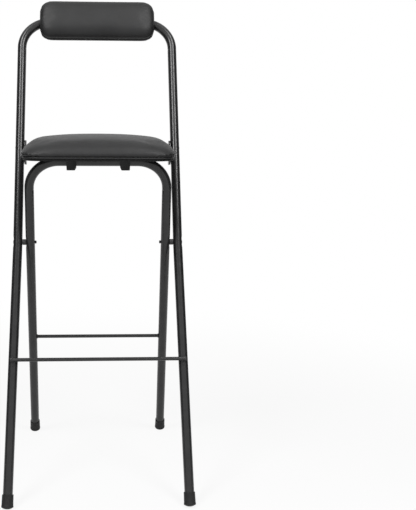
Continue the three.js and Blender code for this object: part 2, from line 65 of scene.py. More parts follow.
# The scissor
PIVOT_HEIGHT = 526
FRONT_FOOT_Y = -230.437
FLOOR_SPREAD = 437
FRONT_SPREAD = 229.5
REAR_SPREAD = 207.5
CROSSBAR_HEIGHT = 711.7
BACK_TUBE = {
    "radius": 10.3,
    "floor": 191,
    "pivot": 178.8,
    "top_half": 176.8,
    "top": 1110.5,
    "bend": 65,
    "press": 1.2,
}
LEG_TUBE = {
    "radius": 10.2,
    "floor": 161,
    "pivot": 151,
    "top_half": 148.3,
    "top": CROSSBAR_HEIGHT / math.cos(math.atan(REAR_SPREAD / PIVOT_HEIGHT)),
    "bend": 65,
    "press": 1,
}
PRESS = {"reach": 16, "land": 7, "steps": 56}
CREASE = {"depth": 0.7, "below_bend": 2.2, "half": 1.6}
BEND_APPROACH = (-12, -5, -3.4, -2.2, -1.1)
TUBE_SIDES = 48
BEND_STEPS = 28

# Rods and their welds
FOOTREST = {"radius": 4, "reach": 310, "half": 189.9, "chamfer": 0.7}
REAR_ROD = {"radius": 4, "reach": 301, "bite": 0.6, "chamfer": 0.3}
TOUCH = 0.3
SEAM_WELD = {
    "radius": 2.2,
    "ripples": 4,
    "level": 3.7,
    "stand": 0.5,
    "curl": 0.01,
    "step": 0.25,
    "half_steps": 22,
}
BEAD = {"thinnest": 0.25, "fullness": 0.35, "lump": 0.13, "sides": 14}
RUN_WELD = {
    "radius": 1.4,
    "ripples": 2,
    "drop": 13,
    "stand": 0.2,
    "sag": 0.25 / 3,
    "start": -3,
    "lowest": 7,
    "points": 13,
}
RING_WELD = {"radius": 1, "lump": 0.12, "lumps": 9, "sink": 0.4, "stand": 0.3, "steps": 40, "sides": 12}

# Feet
FOOT = {
    "dome": 21,
    "bite": 0.8,
    "sole": 8,
    "length": 30,
    "wall": 1.4,
    "flare": 0.3,
    "flange": 0.4,
    "rim": 3,
}
FOOT_DOME_STEPS = 12

# Fasteners, and the edges of brackets and clips
SHANK = 3
SLEEVE_BORE = 3.3
BRACKET_BEVEL = 0.5
BRACKET_SPREAD = 1.3
CLIP_BEVEL = 0.7

# The seat. Where the outline is drawn in towards its middle it also gets rounder.
SEAT = {"half_width": 162, "front": 145, "rear": 129, "widest_y": -39.929}
SEAT_POWER = {"front": 7, "rear": 5.8, "roundest": 2.1, "fade": 7}
SEAT_POINTS = 192
SEAT_CUSHION = {"bottom": 727.4, "lift": 6.4, "crown": 33.6, "draw": 3.2, "rim": 1, "roll_steps": 10}
SEAT_UNDER = {"insets": (40, 20, 9, 6.5), "sink": 0.2}
SEAT_TUCK = ((1.2, -0.1), (0.4, 0.1))
WELT = {"radius": 2, "inset": 6, "below_cushion": 1.8, "sides": 16}
CLOTH_BOTTOM = 722.2
CROWN_TABLE = [
    (1, 0),
    (0.988, 0.12),
    (0.97, 0.285),
    (0.95, 0.425),
    (0.93, 0.53),
    (0.904, 0.615),
    (0.872, 0.68),
    (0.827, 0.737),
    (0.75, 0.796),
    (0.65, 0.86),
    (0.494, 0.935),
    (0.26, 0.982),
    (0, 1),
]

# The cover's edge below the welt, as (inset, height over the dust cloth).
# BRACKET_PLACE says where the edge is lifted over the hinge brackets.
HEM_PROFILE = [
    (6.6, 1.6),
    (5.6, 0.6),
    (5.3, -0.6),
    (5.6, -2),
    (6.4, -2.8),
    (7.4, -3),
    (8.2, -2.6),
    (8.5, -1.6),
    (9.6, 0.1),
    (11, 0.6),
    (22, 0.6),
    (22, 1.2),
    (10.6, 1.2),
    (8.8, 1),
    (7.8, 1.8),
]
BRACKET_PLACE = {"front": (44, 47), "rear": (83, 86), "inner": (100, 112), "clear": 0.1, "free": 9}

# The dust cloth and its staples
DUST_CLOTH_INSET = 14
DUST_CLOTH_PROFILE = [
    (0, 0.55),
    (0.3, 0.2),
    (3, 0.15),
    (10, 0.15),
    (11, 0.4),
    (20, 0.45),
    (45, 0.4),
    (75, 0.45),
    (100, 0.4),
]
STAPLE = {"inset": 5, "height": 0.2, "every": 6, "bracket_y": 35, "bracket_x": 60, "sides": 8}
STAPLE_PROFILE = ((-5, 0.2, 1.2), (-4.9, 0.35, 0.3), (-4, 0.4, 0), (4, 0.4, 0), (4.9, 0.35, 0.3))

# Padding. SEAM_HOLD and smooth_over are heights above the seam, over which a hold fades out.
VOXEL = 4.5
FIRST_SMOOTHING = 4
PLUMP = 2
SEAM_HOLD = (1, 4)
CLOTH = {"quality": 5, "mass": 0.3, "stiffness": 20, "bending": 2, "pressure": 4, "frames": 20}
SEAT_SOFTNESS = {"smooth_over": (5, 13), "iterations": 24, "pucker": 0.35}
PAD_SOFTNESS = {"smooth_over": (7, 14), "iterations": 14, "pucker": 0.25}
PUCKER_FADE = 5
PUCKER_WAVES = ((0.45, 0, 0.6), (0.29, 1.3, 0.4))

# The backrest, in the plane of the outer frame
PAD = {"half_width": 136.25, "half_height": 48, "corner": 30, "edge": 18, "draw": 0.6, "rim": 0.6}
PAD_FRONT = {"seam": 10.6, "lift": 3, "rise": 20}
PAD_REAR = {"seam": 10.3, "lift": 6, "rise": 20}
PAD_UNDER_INSETS = (28, 14, 6)
PAD_ROLL_STEPS = 8
PAD_CORNER_STEPS = 12
PAD_EDGE_STEP = 6
PAD_EDGE_TABLE = [
    (0, 0),
    (0.05, 0.26),
    (0.15, 0.48),
    (0.32, 0.68),
    (0.58, 0.83),
    (1, 0.93),
    (1.7, 0.985),
    (2.3, 0.997),
]
TABLE_STEPS = 4

# The studio, in metres and watts
FLOOR = {"half": 60, "height": -0.0004, "grey": 0.92, "roughness": 0.9, "specular": 0.1}
FLOOR_WHITE = {"near": 0.35, "far": 1.6, "share": 0.88}
WORLD_STRENGTH = 0.3
LAMP_TARGET = (0, 0, 0.8)
LAMP_SIZE = (1.0, 1.5)
LAMPS = {"softbox_left": ((-1.55, -1.55, 3.2), 62), "softbox_right": ((1.45, -1.65, 3.2), 56)}
FLAG = {"side": 1.1, "low": 0.05, "high": 2.0, "near": -0.65, "far": 0.9, "grey": 0.01}


def photo_camera():
    data = bpy.data.cameras.new("photo_camera")
    data.lens = CAMERA_LENS
    data.sensor_width = CAMERA_SENSOR
    data.shift_x = CAMERA_SHIFT
    level = math.cos(CAMERA_PITCH)
    forward = Vector(
        (math.sin(CAMERA_YAW) * level, math.cos(CAMERA_YAW) * level, -math.sin(CAMERA_PITCH))
    )
    flat_right = Vector((math.cos(CAMERA_YAW), -math.sin(CAMERA_YAW), 0))
    flat_up = flat_right.cross(forward)
    right = flat_right * math.cos(CAMERA_ROLL) + flat_up * math.sin(CAMERA_ROLL)
    up = flat_up * math.cos(CAMERA_ROLL) - flat_right * math.sin(CAMERA_ROLL)
    camera = bpy.data.objects.new("photo_camera", data)
    scene.collection.objects.link(camera)
    turn = Matrix((right, up, -forward)).transposed().to_4x4()
    camera.matrix_world = Matrix.Translation(CAMERA_AT) @ turn
    scene.camera = camera


photo_camera()


# Materials. Every texture reads the piece's own coordinates, in metres.
class Shader:
    """A Principled material with procedural colour, roughness and relief."""

    def __init__(self, name, roughness, metallic=0.0, **constants):
        self.material = bpy.data.materials.new(name)
        self.material.use_nodes = True
        self.nodes = self.material.node_tree.nodes
        self.links = self.material.node_tree.links
        self.shader = self.nodes["Principled BSDF"]
        self.shader.inputs["Roughness"].default_value = roughness
        self.shader.inputs["Metallic"].default_value = metallic
        for socket, value in constants.items():
            self.shader.inputs[socket.replace("_", " ")].default_value = value
        self.place = self.nodes.new("ShaderNodeTexCoord").outputs["Object"]
        self.normal = None

    def texture(self, kind, scale, place=None, **settings):
        node = self.nodes.new(kind)
        for key, value in settings.items():
            if key in node.inputs:
                node.inputs[key].default_value = value
            else:
                setattr(node, key, value)
        node.inputs["Scale"].default_value = scale
        self.links.new(place or self.place, node.inputs["Vector"])
        return node.outputs[0]

    def noise(self, scale, detail=2.0, rough=0.5):
        return self.texture("ShaderNodeTexNoise", scale, Detail=detail, Roughness=rough)

    def stretched(self, factors):
        node = self.nodes.new("ShaderNodeMapping")
        node.inputs["Scale"].default_value = factors
        self.links.new(self.place, node.inputs["Vector"])
        return node.outputs[0]

    def wobbled(self, scale, amount):
        """The piece's coordinates, moved about by noise, so that cells and lines look grown."""
        noise = self.nodes.new("ShaderNodeTexNoise")
        noise.inputs["Scale"].default_value = scale
        self.links.new(self.place, noise.inputs["Vector"])
        step = self.nodes.new("ShaderNodeVectorMath")
        step.operation = "MULTIPLY_ADD"
        step.inputs[1].default_value = (amount, amount, amount)
        self.links.new(noise.outputs["Color"], step.inputs[0])
        self.links.new(self.place, step.inputs[2])
        return step.outputs[0]

    def ranged(self, source, source_range, target_range):
        node = self.nodes.new("ShaderNodeMapRange")
        node.inputs["From Min"].default_value = source_range[0]
        node.inputs["From Max"].default_value = source_range[1]
        node.inputs["To Min"].default_value = target_range[0]
        node.inputs["To Max"].default_value = target_range[1]
        self.links.new(source, node.inputs["Value"])
        return node.outputs[0]

    def colours(self, source, stops):
        ramp = self.nodes.new("ShaderNodeValToRGB")
        elements = ramp.color_ramp.elements
        for index, (position, colour) in enumerate(stops):
            element = elements[index] if index < 2 else elements.new(position)
            element.position = position
            element.color = (*colour, 1)
        self.links.new(source, ramp.inputs["Fac"])
        self.links.new(ramp.outputs["Color"], self.shader.inputs["Base Color"])

    def roughness(self, source, source_range, target_range):
        self.links.new(self.ranged(source, source_range, target_range), self.shader.inputs["Roughness"])

    def relief(self, source, depth, strength=1.0):
        bump = self.nodes.new("ShaderNodeBump")
        bump.inputs["Distance"].default_value = depth * MM
        bump.inputs["Strength"].default_value = strength
        self.links.new(source, bump.inputs["Height"])
        if self.normal:
            self.links.new(self.normal, bump.inputs["Normal"])
        self.normal = bump.outputs[0]
        self.links.new(self.normal, self.shader.inputs["Normal"])


def grey(value):
    return (value, value, value * 1.02)


def powder_coat():
    made = Shader("powder_coat_black", 0.22, 0.0, Specular_IOR_Level=0.37)
    made.colours(made.noise(38, 4), [(0.3, grey(0.018)), (0.7, grey(0.026))])
    made.roughness(made.noise(90, 3), (0.35, 0.65), (0.18, 0.26))
    made.relief(made.noise(900, 3, 0.6), 0.03, 0.2)
    made.relief(made.noise(2600, 2), 0.01, 0.2)
    return made.material


def leatherette():
    made = Shader("leatherette_black", 0.45, 0.0, Specular_IOR_Level=0.3)
    cells = made.texture(
        "ShaderNodeTexVoronoi", 620, made.wobbled(420, 0.0011), feature="DISTANCE_TO_EDGE"
    )
    pebbles = made.ranged(cells, (0.0, 0.22), (0.0, 1.0))
    made.colours(made.noise(26, 5), [(0.3, grey(0.014)), (0.7, grey(0.020))])
    made.roughness(pebbles, (0.0, 1.0), (0.56, 0.44))
    made.relief(made.noise(30, 3), 0.35, 0.35)
    made.relief(pebbles, 0.07, 0.5)
    return made.material


def rubber():
    made = Shader("rubber_black", 0.7, 0.0, Specular_IOR_Level=0.25)
    made.colours(made.noise(120, 4), [(0.3, grey(0.012)), (0.72, grey(0.020))])
    made.roughness(made.noise(260, 3), (0.3, 0.7), (0.52, 0.68))
    made.relief(made.noise(1400, 4, 0.7), 0.06, 0.6)
    return made.material


def black_steel():
    made = Shader("black_steel", 0.35, 0.75)
    made.colours(made.noise(400, 4), [(0.35, grey(0.035)), (0.7, grey(0.06))])
    made.roughness(made.noise(700, 3), (0.3, 0.7), (0.26, 0.42))
    made.relief(made.noise(1800, 2), 0.02, 0.5)
    return made.material


def moulded_plastic():
    made = Shader("moulded_plastic_black", 0.5, 0.0, Specular_IOR_Level=0.25)
    made.colours(made.noise(70, 3), [(0.3, grey(0.010)), (0.7, grey(0.015))])
    made.roughness(made.noise(500, 3), (0.3, 0.7), (0.40, 0.52))
    made.relief(made.noise(1700, 3, 0.6), 0.035, 0.6)
    return made.material


def plywood():
    made = Shader("plywood_birch", 0.6, 0.0, Specular_IOR_Level=0.35)
    grain = made.texture(
        "ShaderNodeTexNoise", 14, made.stretched((9, 0.7, 60)), Detail=6.0, Roughness=0.62
    )
    made.colours(
        grain,
        [(0.32, (0.30, 0.19, 0.10)), (0.62, (0.52, 0.37, 0.21)), (0.8, (0.60, 0.45, 0.28))],
    )
    made.roughness(grain, (0.3, 0.7), (0.72, 0.56))
    made.relief(grain, 0.12, 0.6)
    return made.material


def dust_cloth():
    made = Shader("dust_cloth_black", 0.95, 0.0, Specular_IOR_Level=0.2, Sheen_Weight=0.1)
    fibres = made.texture(
        "ShaderNodeTexNoise", 420, made.stretched((1, 0.35, 1)), Detail=8.0, Roughness=0.75
    )
    made.colours(fibres, [(0.35, grey(0.006)), (0.7, grey(0.016))])
    made.relief(fibres, 0.12, 0.8)
    return made.material


FINISH = {
    "powder_coat": powder_coat(),
    "leatherette": leatherette(),
    "foot_rubber": rubber(),
    "black_steel": black_steel(),
    "black_plastic": moulded_plastic(),
    "plywood": plywood(),
    "dust_cloth": dust_cloth(),
}


# Meshes
def new_piece(name, points, faces, body, slot, sharp=35):
    mesh = bpy.data.meshes.new(name)
    mesh.from_pydata([Vector(point) * MM for point in points], [], faces)
    tidy = bmesh.new()
    tidy.from_mesh(mesh)
    bmesh.ops.remove_doubles(tidy, verts=tidy.verts, dist=1e-6)
    bmesh.ops.recalc_face_normals(tidy, faces=tidy.faces)
    tidy.to_mesh(mesh)
    tidy.free()
    mesh.shade_smooth()
    mesh.set_sharp_from_angle(angle=math.radians(sharp))
    return placed(name, mesh, body, slot)


def placed(name, mesh, body, slot):
    piece = bpy.data.objects.new(name, mesh)
    scene.collection.objects.link(piece)
    mesh.materials.clear()
    mesh.materials.append(FINISH[slot])
    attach(piece, body)
    return piece


def ring_faces(first, count, rings, closed=False):
    """Quads that join each ring of count points to the next."""
    faces = []
    for ring in range(rings if closed else rings - 1):
        here = first + ring * count
        above = first + ((ring + 1) % rings) * count
        for index in range(count):
            after = (index + 1) % count
            faces.append((here + index, here + after, above + after, above + index))
    return faces


class Form:
    """Points and faces gathered for one piece."""

    def __init__(self):
        self.points = []
        self.faces = []

    def loft(self, rings, closed=False, caps=True):
        first = len(self.points)
        count = len(rings[0])
        self.points.extend(point for ring in rings for point in ring)
        self.faces.extend(ring_faces(first, count, len(rings), closed))
        if caps and not closed:
            self.fan(first, rings[0])
            self.fan(first + (len(rings) - 1) * count, rings[-1])

    def fan(self, first, ring):
        middle = sum((Vector(point) for point in ring), Vector()) / len(ring)
        self.points.append(middle)
        hub = len(self.points) - 1
        for index in range(len(ring)):
            self.faces.append((first + index, first + (index + 1) % len(ring), hub))

    def piece(self, name, body, slot, sharp=35):
        return new_piece(name, self.points, self.faces, body, slot, sharp)


def across(axis):
    """Two directions at right angles to an axis and to each other."""
    helper = Vector((0, 0, 1)) if abs(axis.z) < 0.9 else Vector((0, 1, 0))
    one = axis.cross(helper).normalized()
    return one, axis.cross(one).normalized()


def turned_rings(profile, origin, axis, steps=48):
    one, other = across(axis)
    rings = []
    for radius, height in profile:
        ring = []
        for step in range(steps):
            angle = 2 * math.pi * step / steps
            spoke = one * math.cos(angle) + other * math.sin(angle)
            ring.append(origin + axis * height + spoke * radius)
        rings.append(ring)
    return rings


def rounded_profile(corners, steps=5):
    """Rounds a profile of (radius, height, rounding) corners."""
    profile = []
    for index, (radius, height, rounding) in enumerate(corners):
        here = Vector((radius, height))
        if rounding == 0:
            profile.append(tuple(here))
            continue
        before = Vector(corners[index - 1][:2]) - here
        after = Vector(corners[index + 1][:2]) - here
        start = here + before.normalized() * rounding
        end = here + after.normalized() * rounding
        for step in range(steps + 1):
            share = step / steps
            bent = start * (1 - share) ** 2 + here * (2 * share * (1 - share)) + end * share**2
            profile.append(tuple(bent))
    return profile


def smooth_step(low, high, value):
    share = min(1, max(0, (value - low) / (high - low)))
    return share * share * (3 - 2 * share)


def catmull(table, steps):
    """A smooth line through the table's pairs, with a number of steps between each two."""
    line = []
    last = len(table) - 1
    for index in range(last):
        p0, p1, p2, p3 = (Vector(table[min(max(index + k, 0), last)]) for k in (-1, 0, 1, 2))
        for step in range(steps):
            t = step / steps
            spot = 2 * p1 + (p2 - p0) * t + (2 * p0 - 5 * p1 + 4 * p2 - p3) * t**2
            line.append((spot + (3 * p1 - p0 - 3 * p2 + p3) * t**3) / 2)
    line.append(Vector(table[last]))
    return line


# The two tube frames
class Leaning:
    """A tube frame's plane: x across, reach up along the frame, out along its normal to the back."""

    def __init__(self, tube, foot_y, spread, direction):
        self.tube = tube
        self.lean = math.atan(spread / PIVOT_HEIGHT)
        self.pivot_reach = PIVOT_HEIGHT / math.cos(self.lean)
        tilt = self.lean * direction
        self.foot = Vector((0, foot_y, 0))
        self.up = Vector((0, math.sin(tilt), math.cos(tilt)))
        self.normal = Vector((0, math.cos(tilt), -math.sin(tilt)))

    def at(self, x, out, reach):
        return self.foot + Vector((x, 0, 0)) + self.normal * out + self.up * reach

    def half_span(self, reach):
        tube = self.tube
        if reach < self.pivot_reach:
            share = reach / self.pivot_reach
            return tube["floor"] + (tube["pivot"] - tube["floor"]) * share
        share = min(1, (reach - self.pivot_reach) / (tube["top"] - tube["bend"] - self.pivot_reach))
        return tube["pivot"] + (tube["top_half"] - tube["pivot"]) * share

    def foot_reach(self):
        return (FOOT["dome"] - FOOT["bite"]) / math.cos(self.lean)

    def tube_start(self):
        return self.foot_reach() - FOOT["dome"] + FOOT["sole"] + TOUCH


BACK = Leaning(BACK_TUBE, FRONT_FOOT_Y, FRONT_SPREAD, 1)
LEGS = Leaning(LEG_TUBE, FRONT_FOOT_Y + FLOOR_SPREAD, REAR_SPREAD, -1)


def frame_path(plane):
    """Points (x, reach) of the centre line from one foot over the top to the other."""
    tube = plane.tube
    bend_from = tube["top"] - tube["bend"]
    reaches = [plane.tube_start(), plane.tube_start() + 2]
    low = plane.pivot_reach - PRESS["reach"]
    for step in range(PRESS["steps"] + 1):
        reaches.append(low + 2 * PRESS["reach"] * step / PRESS["steps"])
    for offset in BEND_APPROACH:
        reaches.append(bend_from + offset)
    half = [(plane.half_span(reach), reach) for reach in reaches]
    for step in range(BEND_STEPS + 1):
        angle = math.pi / 2 * step / BEND_STEPS
        x = tube["top_half"] - tube["bend"] * (1 - math.cos(angle))
        half.append((x, bend_from + tube["bend"] * math.sin(angle)))
    return half + [(-x, reach) for x, reach in reversed(half)]


def tube_radius_limits(plane, reach):
    """How far the outer side may stand out, and how deep the bend's crease on the inner side is."""
    tube = plane.tube
    bend_from = tube["top"] - tube["bend"]
    if reach >= bend_from:
        return tube["radius"], 0
    from_pivot = abs(reach - plane.pivot_reach)
    press = smooth_step(-PRESS["reach"], -PRESS["land"], -from_pivot) * tube["press"]
    from_crease = abs(reach - bend_from + CREASE["below_bend"])
    crease = CREASE["depth"] * max(0, 1 - from_crease / CREASE["half"])
    return tube["radius"] - press, crease


def tube_piece(name, plane, body, node):
    path = frame_path(plane)
    radius = plane.tube["radius"]
    rings = []
    for index, (x, reach) in enumerate(path):
        before = Vector(path[max(index - 1, 0)])
        after = Vector(path[min(index + 1, len(path) - 1)])
        along = (after - before).normalized()
        side = Vector((along.y, -along.x))
        most, crease = tube_radius_limits(plane, reach)
        ring = []
        for step in range(TUBE_SIDES):
            angle = 2 * math.pi * step / TUBE_SIDES
            outward = min(radius * math.cos(angle), most) + crease * max(0, -math.cos(angle)) ** 2
            depth = radius * math.sin(angle)
            ring.append(plane.at(x + side.x * outward, depth, reach + side.y * outward))
        rings.append(ring)
    form = Form()
    form.loft(rings)
    piece = form.piece(name, body, "powder_coat", 24)
    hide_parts(node)


tube_piece("outer_tube", BACK, "back", "back_frame")
tube_piece("inner_tube", LEGS, "legs", "rear_leg_frame")


# Rods across the frames, and their weld beads
def rod_piece(name, node, plane, body, rod, half, out):
    radius, chamfer = rod["radius"], rod["chamfer"]
    corners = [(0, -half, 0), (radius, -half, chamfer), (radius, half, chamfer), (0, half, 0)]
    centre = plane.at(0, out, rod["reach"])
    form = Form()
    form.loft(turned_rings(rounded_profile(corners), centre, Vector((1, 0, 0))), caps=False)
    piece = form.piece(name, body, "powder_coat")
    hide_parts(node)


def bead(form, line, radius, ripples):
    """A weld bead along a line of points, lumpy along its length and thin at its ends."""
    last = len(line) - 1
    rings = []
    for index, point in enumerate(line):
        before = Vector(line[max(index - 1, 0)])
        along = (Vector(line[min(index + 1, last)]) - before).normalized()
        share = index / last
        swell = max(0, math.sin(math.pi * share)) ** BEAD["fullness"]
        lump = BEAD["lump"] * math.sin(2 * math.pi * ripples * share)
        size = radius * (BEAD["thinnest"] + (1 - BEAD["thinnest"]) * swell) * (1 + lump)
        rings.append(turned_rings([(size, 0)], Vector(point), along, BEAD["sides"])[0])
    form.loft(rings)


def footrest():
    """The rod in front of the outer frame, with welds above, below and under each end."""
    radius = BACK_TUBE["radius"]
    out = -(radius + TOUCH + FOOTREST["radius"])
    rod_piece("footrest_bar", "footrest_rod", BACK, "back", FOOTREST, FOOTREST["half"], out)
    welds = Form()
    for side in (-1, 1):
        middle = side * BACK.half_span(FOOTREST["reach"])
        for level in (-1, 1):
            line = []
            for step in range(-SEAM_WELD["half_steps"], SEAM_WELD["half_steps"] + 1):
                offset = step * SEAM_WELD["step"]
                out = SEAM_WELD["curl"] * offset**2 - radius - SEAM_WELD["stand"]
                line.append(BACK.at(middle + offset, out, FOOTREST["reach"] + level * SEAM_WELD["level"]))
            bead(welds, line, SEAM_WELD["radius"], SEAM_WELD["ripples"])
        run = []
        for step in range(RUN_WELD["points"]):
            offset = side * (step / 3 + RUN_WELD["start"])
            out = -math.sqrt(radius**2 - offset**2) - RUN_WELD["stand"]
            sag = RUN_WELD["sag"] * (step - RUN_WELD["lowest"]) ** 2
            run.append(BACK.at(middle + offset, out, FOOTREST["reach"] - RUN_WELD["drop"] + sag))
        bead(welds, run, RUN_WELD["radius"], RUN_WELD["ripples"])
    welds.piece("footrest_welds", "back", "powder_coat", 60)


def rear_bar():
    """The rod between the rear legs, with a lumpy ring of weld at each end."""
    inside = LEGS.half_span(REAR_ROD["reach"]) - LEG_TUBE["radius"]
    rod_piece("rear_bar", "rear_rod", LEGS, "legs", REAR_ROD, inside + REAR_ROD["bite"], 0)
    welds = Form()
    for side in (-1, 1):
        centre = LEGS.at(side * (inside - RING_WELD["sink"]), 0, REAR_ROD["reach"])
        rings = []
        for step in range(RING_WELD["steps"]):
            angle = 2 * math.pi * step / RING_WELD["steps"]
            lump = RING_WELD["lump"] * math.sin(RING_WELD["lumps"] * angle + side)
            spoke = LEGS.up * math.cos(angle) + LEGS.normal * math.sin(angle)
            middle = centre + spoke * (REAR_ROD["radius"] + RING_WELD["stand"])
            around = LEGS.normal * math.cos(angle) - LEGS.up * math.sin(angle)
            size = RING_WELD["radius"] * (1 + lump)
            rings.append(turned_rings([(size, 0)], middle, around, RING_WELD["sides"])[0])
        welds.loft(rings, closed=True)
    welds.piece("rear_bar_welds", "legs", "powder_coat", 60)


footrest()
rear_bar()


# Rubber feet: a cup with a rounded rim, a flange and a dome that the floor presses flat
def foot_piece(name, plane, side, body, node):
    tube = plane.tube
    outer = tube["radius"] + TOUCH + FOOT["wall"]
    flange = outer + FOOT["flare"] + FOOT["flange"]
    rim = -math.sqrt(FOOT["dome"] ** 2 - flange**2)
    top = FOOT["length"] - FOOT["dome"]
    dome = []
    full = math.asin(flange / FOOT["dome"])
    for step in range(FOOT_DOME_STEPS):
        angle = full * step / FOOT_DOME_STEPS
        dome.append((FOOT["dome"] * math.sin(angle), -FOOT["dome"] * math.cos(angle)))
    wall = rounded_profile(
        [
            dome[-1] + (0,),
            (flange, rim, 0.5),
            (flange, rim + FOOT["rim"], 0.7),
            (outer + FOOT["flare"], rim + FOOT["rim"] + 0.4, 0.5),
            (outer, top - 2.4, 0),
            (outer, top, 1.1),
            (tube["radius"] - 0.4, top, 0),
        ]
    )
    reach = plane.foot_reach()
    splay = (tube["floor"] - tube["pivot"]) / plane.pivot_reach
    axis = (plane.up + Vector((-side * splay, 0, 0))).normalized()
    centre = plane.at(side * plane.half_span(reach), 0, reach)
    rings = turned_rings(dome[1:] + wall[1:], centre, axis)
    for ring in rings:
        for point in ring:
            point.z = max(point.z, 0)
    form = Form()
    form.loft(rings)
    piece = form.piece(name, body, "foot_rubber", 40)
    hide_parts(node)


for label, side in (("left", -1), ("right", 1)):
    foot_piece(f"front_foot_{label}", BACK, side, "back", f"foot_front_{label}")
    foot_piece(f"rear_foot_{label}", LEGS, side, "legs", f"foot_rear_{label}")


# Bolts, cap nuts, spacers and rivets, turned about the axis of the CAD node that each one replaces
def turned_between(name, node, slot, corners):
    """corners(inner, outer) lists the profile's (radius, place, rounding) from the node's own ends."""
    low, high = (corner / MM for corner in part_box(node))
    inner, outer = sorted((abs(low.x), abs(high.x)))
    origin = (low + high) / 2
    origin.x = 0
    axis = Vector((1 if high.x > 0 else -1, 0, 0))
    form = Form()
    form.loft(turned_rings(rounded_profile(corners(inner, outer)), origin, axis), caps=False)
    piece = form.piece(name, "back", slot, 30)
    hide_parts(node)


def bolt_corners(tip, head):
    seat = head - 1.8
    shank = [(0, tip, 0), (SHANK, tip, 0.4), (SHANK, seat, 0)]
    return shank + [(4.7, seat, 0.3), (4.5, seat + 0.6, 0.3), (2.4, seat + 1, 0.8), (0, seat + 1.1, 0)]


def nut_corners(inner, outer):
    dome = [(0, inner - 0.2, 0), (2.2, inner, 1), (3.8, inner + 1.3, 0.7), (4, outer - 1.1, 0.3)]
    return dome + [(SHANK, outer - 1, 0.1), (SHANK, outer + 0.2, 0), (0, outer + 0.2, 0)]


def sleeve_corners(radius, rounding):
    def corners(inner, outer):
        outside = [(radius, inner, rounding), (radius, outer, rounding)]
        return [(SLEEVE_BORE, inner, 0)] + outside + [(SLEEVE_BORE, outer, 0)]

    return corners


def rivet_corners(head, tip):
    dome = [(0, head - 0.1, 0), (3.2, head, 1.4), (5.4, head + 1.3, 0.7), (5.5, head + 2.4, 0.3)]
    shank = [(SHANK, head + 2.4, 0), (SHANK, tip - 0.2, 0.15), (2.4, tip + 0.1, 0.3), (0, tip + 0.15, 0)]
    return dome + shank


TURNED = [
    ("scissor_bolt", "pivot_bolt", "black_steel", bolt_corners),
    ("scissor_nut", "pivot_nut", "black_steel", nut_corners),
    ("scissor_sleeve", "pivot_spacer", "black_steel", sleeve_corners(6.5, 0.5)),
    ("seat_rivet", "hinge_rivet", "black_steel", rivet_corners),
    ("seat_sleeve", "hinge_spacer", "black_plastic", sleeve_corners(6, 0.3)),
]
for label in ("left", "right"):
    for name, node, slot, corners in TURNED:
        turned_between(f"{name}_{label}", f"{node}_{label}", slot, corners)


# Bevelled copies of the flat metal and moulded parts
def bevelled_copy(name, node, slot, width, spread=0):
    """spread moves the outermost face out to its neighbour, across the gap that the CAD solid keeps."""
    mesh = frame["nodes"][node].data.copy()
    outermost = max(abs(vertex.co.x) for vertex in mesh.vertices)
    for vertex in mesh.vertices:
        if abs(vertex.co.x) > outermost - 0.1 * MM:
            vertex.co.x += math.copysign(spread * MM, vertex.co.x)
    shape = bmesh.new()
    shape.from_mesh(mesh)
    bmesh.ops.remove_doubles(shape, verts=shape.verts, dist=1e-6)
    bmesh.ops.dissolve_limit(shape, angle_limit=math.radians(2), verts=shape.verts, edges=shape.edges)
    shape.to_mesh(mesh)
    shape.free()
    piece = placed(name, mesh, "seat", slot)
    bevel = piece.modifiers.new("edges", "BEVEL")
    bevel.width = width * MM
    bevel.segments = 3
    bevel.limit_method = "ANGLE"
    bevel.angle_limit = math.radians(40)
    bevel.harden_normals = True
    mesh.shade_smooth()
    apply_modifiers(piece)
    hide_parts(node)


def apply_modifiers(piece):
    depsgraph = bpy.context.evaluated_depsgraph_get()
    finished = bpy.data.meshes.new_from_object(piece.evaluated_get(depsgraph))
    piece.modifiers.clear()
    spare = piece.data
    piece.data = finished
    bpy.data.meshes.remove(spare)


for label in ("left", "right"):
    bracket = f"hinge_bracket_{label}"
    bevelled_copy(f"hinge_plate_{label}", bracket, "powder_coat", BRACKET_BEVEL, BRACKET_SPREAD)
    bevelled_copy(f"crossbar_clip_{label}", f"bar_clip_{label}", "black_plastic", CLIP_BEVEL)


# The seat's plan: an outline at even steps, as directions and radii round its middle
def seat_radius(angle, inset, squareness=1.0):
    across_half = SEAT["half_width"] - inset
    part = "front" if math.sin(angle) < 0 else "rear"
    power = SEAT_POWER["roundest"] + (SEAT_POWER[part] - SEAT_POWER["roundest"]) * squareness
    depth = SEAT[part] - inset
    reach = abs(math.cos(angle) / across_half) ** power + abs(math.sin(angle) / depth) ** power
    return reach ** (-1 / power)


def even_angles():
    """Angles that split the seat's outline into steps of equal length."""
    fine = 2880
    angles = [2 * math.pi * step / fine for step in range(fine + 1)]
    spots = [Vector((math.cos(a), math.sin(a))) * seat_radius(a, 0) for a in angles]
    lengths = [0]
    for one, other in zip(spots, spots[1:]):
        lengths.append(lengths[-1] + (other - one).length)
    chosen = []
    index = 0
    for step in range(SEAT_POINTS):
        wanted = lengths[-1] * step / SEAT_POINTS
        while lengths[index + 1] < wanted:
            index += 1
        chosen.append(angles[index])
    return chosen


SEAT_ANGLES = even_angles()


def seat_ring(inset, height, share=1.0):
    """The outline, inset and then drawn towards its middle, where it gets rounder."""
    ring = []
    for angle in SEAT_ANGLES:
        radius = seat_radius(angle, inset, share ** SEAT_POWER["fade"]) * share
        y = SEAT["widest_y"] + math.sin(angle) * radius
        ring.append(Vector((math.cos(angle) * radius, y, height)))
    return ring


# Padding: an even mesh, blown up a little by a cloth simulation that is held where the cover is fastened
def evenly_meshed(piece):
    remesh = piece.modifiers.new("even", "REMESH")
    remesh.mode = "VOXEL"
    remesh.voxel_size = VOXEL * MM
    apply_modifiers(piece)


